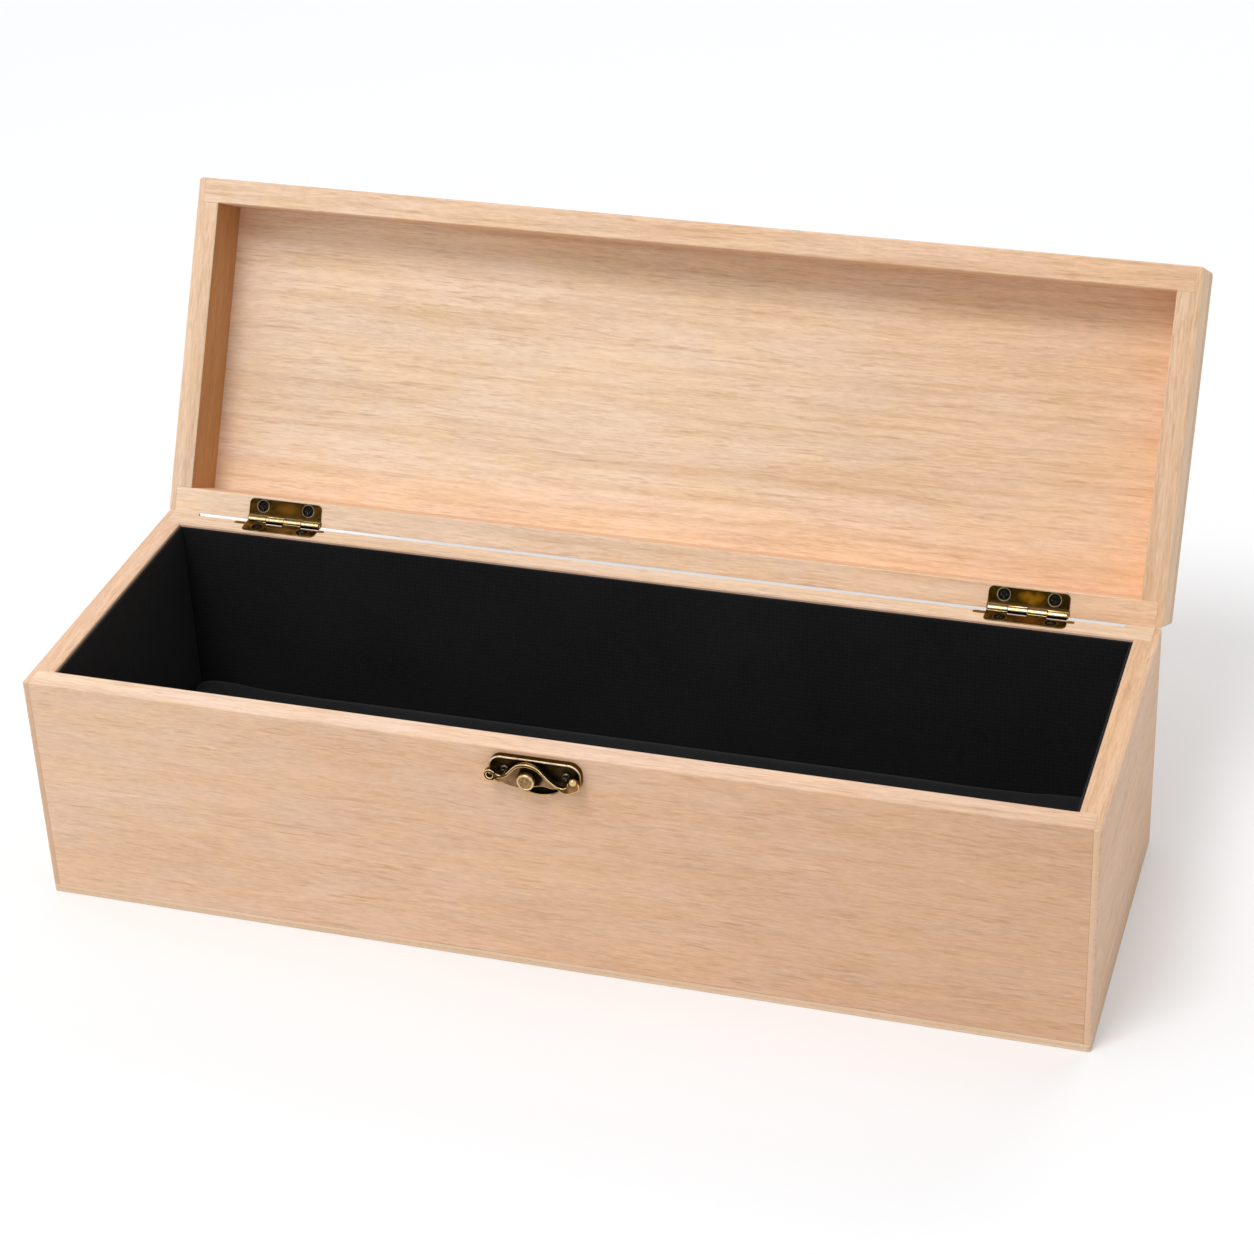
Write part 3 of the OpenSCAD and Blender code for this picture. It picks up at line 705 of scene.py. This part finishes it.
def rivet_brass(name, seed):
    material, n, shader, here, stains, specks = metal(name, seed)
    mottle = n.noise(here, RIVET_MOTTLE, detail=2, place=(1, 2, 3))
    face = mottled(n, mottle, RIVET_FACES)
    ring = n.span(n.reach(round_pivot(n, here), (0, 0, 0), (1, 0, 1)), *BUTTON_RING)
    face = n.mix(ring, face, mottled(n, stains, RIVET_RINGS, 0.35, 0.6))
    colour = n.mix(n.span(n.extent(n.facing(), "Y"), 0.3, 0.6), mottled(n, stains, RIVET_SIDES), face)
    colour = n.mix(rubbed(n, stains, 0.2, 0.4), colour, BRASS_BRIGHT)
    metal_surface(n, shader, colour, (0.25, 0.45), mottle, mottle, 0.05 * MM, 0.7)
    return material


SCREW_BLACK = (0.008, 0.006, 0.004)
HINGE_SCREW_PALE = (0.40, 0.36, 0.30)
LATCH_SCREW_PALE = (0.26, 0.21, 0.15)
SPECK_SHARE = 0.05


def screw_metal(name, pale, seed, shoulder_highlight=0.0):
    """Dark heads with pale edges, and on a domed head a painted highlight on its shoulders"""
    material, n, shader, here, stains, specks = metal(name, seed)
    colour = mottled(n, specks, (SCREW_BLACK, tuple(SPECK_SHARE * part for part in pale)))
    # A painted highlight on the sloping shoulders of a domed head
    tilted_highlight = n.times(n.span(n.extent(n.facing(), "Y"), 0.95, 0.8), n.span(stains, 0.38, 0.6, 0.2, 1.0))
    colour = n.mix(n.times(tilted_highlight, shoulder_highlight), colour, pale)
    colour = n.mix(rubbed(n, stains), colour, pale)
    metal_surface(n, shader, colour, (0.28, 0.48), specks, specks, 0.03 * MM, 0.6)
    return material


# Pieces

WELD = 1e-6
FLAT = math.radians(0.6)
SHARP = math.radians(50)
# An edge stays unrounded where a neighbour shorter than ROOM widths turns off by more than TURN.
ROOM = 2.2
TURN = math.radians(40)
FOLDED = math.radians(130)
NEAR_FOLD = 0.5 * MM
TINY_FACE = 1e-9
NORMAL_WEIGHT = 90


def cramped(edge, room):
    """Whether a short edge turns off from one of the edge's ends, too near for rounding it"""
    for vert in edge.verts:
        along = vert.co - edge.other_vert(vert).co
        for other in vert.link_edges:
            if other is edge or other.calc_length() > room:
                continue
            if along.angle(other.other_vert(vert).co - vert.co) > TURN:
                return True
    return False


def rounded(node, width, segments, room, spared=()):
    """A piece's CAD mesh with its sharp outer edges rounded, but for those that end near a spared place"""
    bm = bmesh.new()
    bm.from_mesh(nodes[node].data)
    bmesh.ops.remove_doubles(bm, verts=bm.verts, dist=WELD)
    bmesh.ops.dissolve_limit(bm, angle_limit=FLAT, verts=bm.verts, edges=bm.edges)
    worn = bm.faces.layers.float.new("worn")
    sharp = [edge for edge in bm.edges if edge.is_convex and edge.calc_face_angle() > SHARP]
    sharp = [edge for edge in sharp if not cramped(edge, room * width)]
    for place in spared:
        sharp = [edge for edge in sharp if all((vert.co - place).length > NEAR_FOLD for vert in edge.verts)]
    made = bmesh.ops.bevel(
        bm, geom=sharp, offset=width, offset_type="OFFSET", segments=segments, profile=0.5,
        affect="EDGES", clamp_overlap=False,
    )
    for face in made["faces"]:
        face[worn] = 1.0
    bmesh.ops.triangulate(bm, faces=bm.faces, ngon_method="EAR_CLIP")
    return bm


def folds(bm):
    """Both ends of each edge at which a face folds back on its neighbour"""
    places = []
    for edge in bm.edges:
        smallest = min(face.calc_area() for face in edge.link_faces)
        if edge.calc_face_angle() > FOLDED and smallest > TINY_FACE:
            places += [vert.co.copy() for vert in edge.verts]
    return places


def soft_copy(node, width, material, segments=2, room=ROOM):
    """A copy of a CAD piece with its sharp outer edges rounded, which stands for the piece"""
    bm = rounded(node, width, segments, room)
    spared = folds(bm)
    if spared:
        bm.free()
        bm = rounded(node, width, segments, room, spared)
    mesh = bpy.data.meshes.new(node + "_eased")
    bm.to_mesh(mesh)
    bm.free()
    mesh.shade_smooth()
    mesh.materials.append(material)
    piece = bpy.data.objects.new(node + "_eased", mesh)
    scene.collection.objects.link(piece)
    weighted = piece.modifiers.new("weighted_normals", "WEIGHTED_NORMAL")
    weighted.weight = NORMAL_WEIGHT
    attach(piece, nodes[node]["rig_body"])
    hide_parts(node)


BED_SHRINK = 1.6 * MM
BED_VOXEL = 4 * MM
BED_RELAX = 4
BED_PRESSURE = 4.0
BED_SWELL = 3.0 * MM
BED_FRAMES = 20
BED_QUALITY = 6
BED_GAP = 0.2 * MM
TINY_MOVE = 1e-9


def coordinates(mesh):
    flat = np.zeros(len(mesh.vertices) * 3)
    mesh.vertices.foreach_get("co", flat)
    return flat.reshape(-1, 3)


def swell(piece, pinned):
    """Where the piece's points go when it is blown up as cloth, none further than BED_SWELL"""
    start = coordinates(piece.data)
    cover = piece.modifiers.new("swell", "CLOTH")
    cover.settings.use_pressure = True
    cover.settings.uniform_pressure_force = BED_PRESSURE
    cover.settings.effector_weights.gravity = 0
    cover.settings.quality = BED_QUALITY
    cover.settings.vertex_group_mass = pinned
    cover.point_cache.frame_end = BED_FRAMES
    for step in range(1, BED_FRAMES + 1):
        scene.frame_set(step)
    shaped = piece.evaluated_get(bpy.context.evaluated_depsgraph_get())
    moved = coordinates(shaped.data) - start
    piece.modifiers.remove(cover)
    scene.frame_set(1)
    length = np.linalg.norm(moved, axis=1, keepdims=True)
    moved *= np.minimum(1.0, BED_SWELL / np.maximum(length, TINY_MOVE))
    return start + moved


def foam_bed(material):
    """Cloth-covered foam, swollen a little between its corners"""
    low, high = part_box("floor_pad")
    mesh = nodes["floor_pad"].data.copy()
    mesh.name = "foam_bed"
    piece = bpy.data.objects.new("foam_bed", mesh)
    scene.collection.objects.link(piece)
    centre = (low + high) / 2
    half = (high - low) / 2
    shrink = Matrix.Diagonal(Vector((half[i] - BED_SHRINK) / half[i] for i in range(3))).to_4x4()
    mesh.transform(Matrix.Translation(centre) @ shrink @ Matrix.Translation(-centre))
    remesh = piece.modifiers.new("remesh", "REMESH")
    remesh.mode = "VOXEL"
    remesh.voxel_size = BED_VOXEL
    relax = piece.modifiers.new("relax", "SMOOTH")
    relax.iterations = BED_RELAX
    shaped = piece.evaluated_get(bpy.context.evaluated_depsgraph_get())
    made = bpy.data.meshes.new_from_object(shaped)
    piece.modifiers.clear()
    piece.data = made
    pinned = piece.vertex_groups.new(name="glued")
    foot = np.flatnonzero(coordinates(made)[:, 2] < low.z + BED_VOXEL)
    pinned.add([int(i) for i in foot], 1.0, "REPLACE")
    points = np.clip(swell(piece, "glued"), np.array(low) + BED_GAP, np.array(high) - BED_GAP)
    made.vertices.foreach_set("co", points.reshape(-1))
    made.update()
    piece.vertex_groups.clear()
    made.materials.clear()
    made.materials.append(material)
    made.shade_smooth()
    finer = piece.modifiers.new("finer", "SUBSURF")
    finer.levels = 1
    finer.render_levels = 1
    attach(piece, "base")
    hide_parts("floor_pad")


# Stage

FLOOR_HALF = 6.0
FLOOR_SEEN = (0.955, 0.968, 0.985)
FLOOR_PALES = ((0.3, (0.78, 0.775, 0.77)), (0.7, (0.80, 0.795, 0.79)))
FLOOR_PAPER = (40,) * 3
FLOOR_GLOW = 0.15


def seen_directly(n):
    """1 for what the camera, a reflection or a view through glass shows"""
    path = n.add("ShaderNodeLightPath")
    seen = n.maths("MAXIMUM", path.outputs["Is Camera Ray"], path.outputs["Is Glossy Ray"])
    return n.maths("MAXIMUM", seen, path.outputs["Is Transmission Ray"], clamp=True)


def make_floor():
    mesh = bpy.data.meshes.new("floor")
    corners = [(x * FLOOR_HALF, y * FLOOR_HALF, 0) for x, y in ((-1, -1), (1, -1), (1, 1), (-1, 1))]
    mesh.from_pydata(corners, [], [(0, 1, 2, 3)])
    floor = bpy.data.objects.new("floor", mesh)
    scene.collection.objects.link(floor)
    material, n, shader = new_material("floor_white")
    pale = n.ramp(n.noise(n.place(), FLOOR_PAPER), FLOOR_PALES)
    seen = seen_directly(n)
    n.put(n.mix(seen, pale, FLOOR_SEEN), shader.inputs["Base Color"])
    shader.inputs["Roughness"].default_value = 0.9
    shader.inputs["Specular IOR Level"].default_value = 0.0
    # A backdrop's own whiteness lifts the shadow where the floor is looked at.
    white = n.add("ShaderNodeEmission")
    blend = n.add("ShaderNodeMixShader")
    n.put(n.times(seen, FLOOR_GLOW), blend.inputs[0])
    n.put(shader.outputs[0], blend.inputs[1])
    n.put(white.outputs[0], blend.inputs[2])
    n.put(blend.outputs[0], n.out)
    floor.data.materials.append(material)


ROOM_LEFT = (1.0,) * 3
ROOM_RIGHT = (0.12,) * 3
CEILING = ((0.45, (1.0, 1.0, 1.0)), (0.85, (0.3, 0.3, 0.3)))


def make_world():
    """White where it is seen, with a dim ceiling, and brighter from the left where it lights the box"""
    world = bpy.data.worlds.new("world")
    scene.world = world
    world.use_nodes = True
    n = Nodes(world.node_tree)
    background = n.add("ShaderNodeBackground")
    out = n.add("ShaderNodeOutputWorld")
    n.put(background.outputs[0], out.inputs[0])
    way = n.split(n.add("ShaderNodeTexCoord").outputs["Generated"])
    room = n.ramp(n.span(way["X"], -1.0, 1.0), ((0.0, ROOM_LEFT), (1.0, ROOM_RIGHT)))
    ceiling = n.ramp(way["Z"], CEILING, ease="EASE")
    n.put(n.mix(seen_directly(n), room, ceiling), background.inputs["Color"])


make_camera()
make_floor()
make_world()
area_light("key", (-0.6, -1.35, 3.0), (1.1, 1.1), 43)
area_light("top", (0.2, 0.2, 3.0), (1.8, 1.8), 8)
area_light("right", (2.6, -0.5, 1.5), (1.6, 1.6), 6)
area_light("back", (0.5, 2.6, 2.0), (1.8, 1.4), 15)

# How wide the rounding of each kind of edge is
WOOD_EDGE = 0.14 * MM
PLY_EDGE = 0.07 * MM
CLOTH_EDGE = 0.3 * MM
LEAF_EDGE = 0.08 * MM
PIN_EDGE = 0.05 * MM
SCREW_EDGE = 0.03 * MM
PLATE_EDGE = 0.16 * MM
ARM_EDGE = 0.24 * MM
RIVET_EDGE = 0.15 * MM

LID_OUTSIDE = (1.04, 1.06, 1.04)
# Painted light, lighter and cooler at the box's left end, darker and warmer towards its right
FRONT_PAINTED_LIGHT = ((1.09, 1.12, 1.13), (1.03, 1.0, 0.96), (0.92, 0.86, 0.80))
LID_FRONT_PAINTED_LIGHT = ((1.13, 1.22, 1.26), (1.10, 1.14, 1.14), (1.02, 1.0, 0.93))
LID_BACK_PAINTED_LIGHT = ((1.20, 1.38, 1.50), (1.05, 1.03, 0.97))
LID_TOP_PAINTED_LIGHT = ((1.21, 1.38, 1.48), (1.19, 1.32, 1.38), (1.06, 1.06, 1.0))

# Each board's tint and rim tint here are painted light; the lid's left rail also has painted shade on its
# recess wall.
boards = {
    "base_front_board": dict(light_tints=FRONT_PAINTED_LIGHT, rim_light_tint=(1.03, 1.13, 1.25)),
    "base_back_board": dict(rim_light_tint=(1.04, 1.18, 1.25), kerf=True),
    "base_left_end": dict(along="y"),
    "base_right_end": dict(along="y", light_tints=((1.10, 1.12, 1.12),), rim_light_tint=(0.87, 0.85, 0.78)),
    "lid_front_rail": dict(light_tints=LID_FRONT_PAINTED_LIGHT, outer=LID_OUTSIDE),
    "lid_back_rail": dict(light_tints=LID_BACK_PAINTED_LIGHT, outer=LID_OUTSIDE),
    "lid_left_rail": dict(
        along="y", light_tints=((1.05, 1.13, 1.17),), rim_light_tint=(1.04, 1.05, 1.06), painted_shade_facing=(1, 0, 0)
    ),
    "lid_right_rail": dict(along="y", light_tints=((1.15, 1.20, 1.14),), rim_light_tint=(0.88, 0.86, 0.88)),
    "lid_top_board": dict(light_tints=LID_TOP_PAINTED_LIGHT, outer=LID_OUTSIDE),
}
for seed, (name, look) in enumerate(boards.items(), 1):
    soft_copy(name, WOOD_EDGE, wood(name + "_wood", float(seed), name.startswith("lid"), **look))
soft_copy("base_bottom_panel", PLY_EDGE, plywood("bottom_ply"))

black_cloth = cloth("black_cloth")
for name in ("lining_front", "lining_back", "lining_left", "lining_right"):
    soft_copy(name, CLOTH_EDGE, black_cloth, segments=3)
foam_bed(black_cloth)

hinge_screws = screw_metal("hinge_screw_steel", HINGE_SCREW_PALE, 5.0)
latch_screws = screw_metal("latch_screw_bronze", LATCH_SCREW_PALE, 6.0, shoulder_highlight=0.9)
for i, side in enumerate(("left", "right")):
    for half, first_seed in (("base", 1.0), ("lid", 4.0)):
        leaf = hinge_brass(f"hinge_{side}_{half}_brass", side, half == "lid", first_seed + i)
        soft_copy(f"hinge_{side}_{half}_leaf", LEAF_EDGE, leaf)
        soft_copy(f"hinge_{side}_{half}_screws", SCREW_EDGE, hinge_screws, segments=1, room=0)
    soft_copy(f"hinge_{side}_pin", PIN_EDGE, pin_brass(f"hinge_{side}_pin_brass", 7.0 + i))
soft_copy("latch_plate", PLATE_EDGE, plate_brass("latch_plate_brass", 10.0))
soft_copy("latch_arm", ARM_EDGE, arm_brass("latch_arm_brass", 11.0), segments=3)
soft_copy("latch_rivet", RIVET_EDGE, rivet_brass("latch_rivet_brass", 12.0))
soft_copy("latch_screws", SCREW_EDGE, latch_screws, segments=1, room=0)

scene.view_settings.view_transform = "Standard"
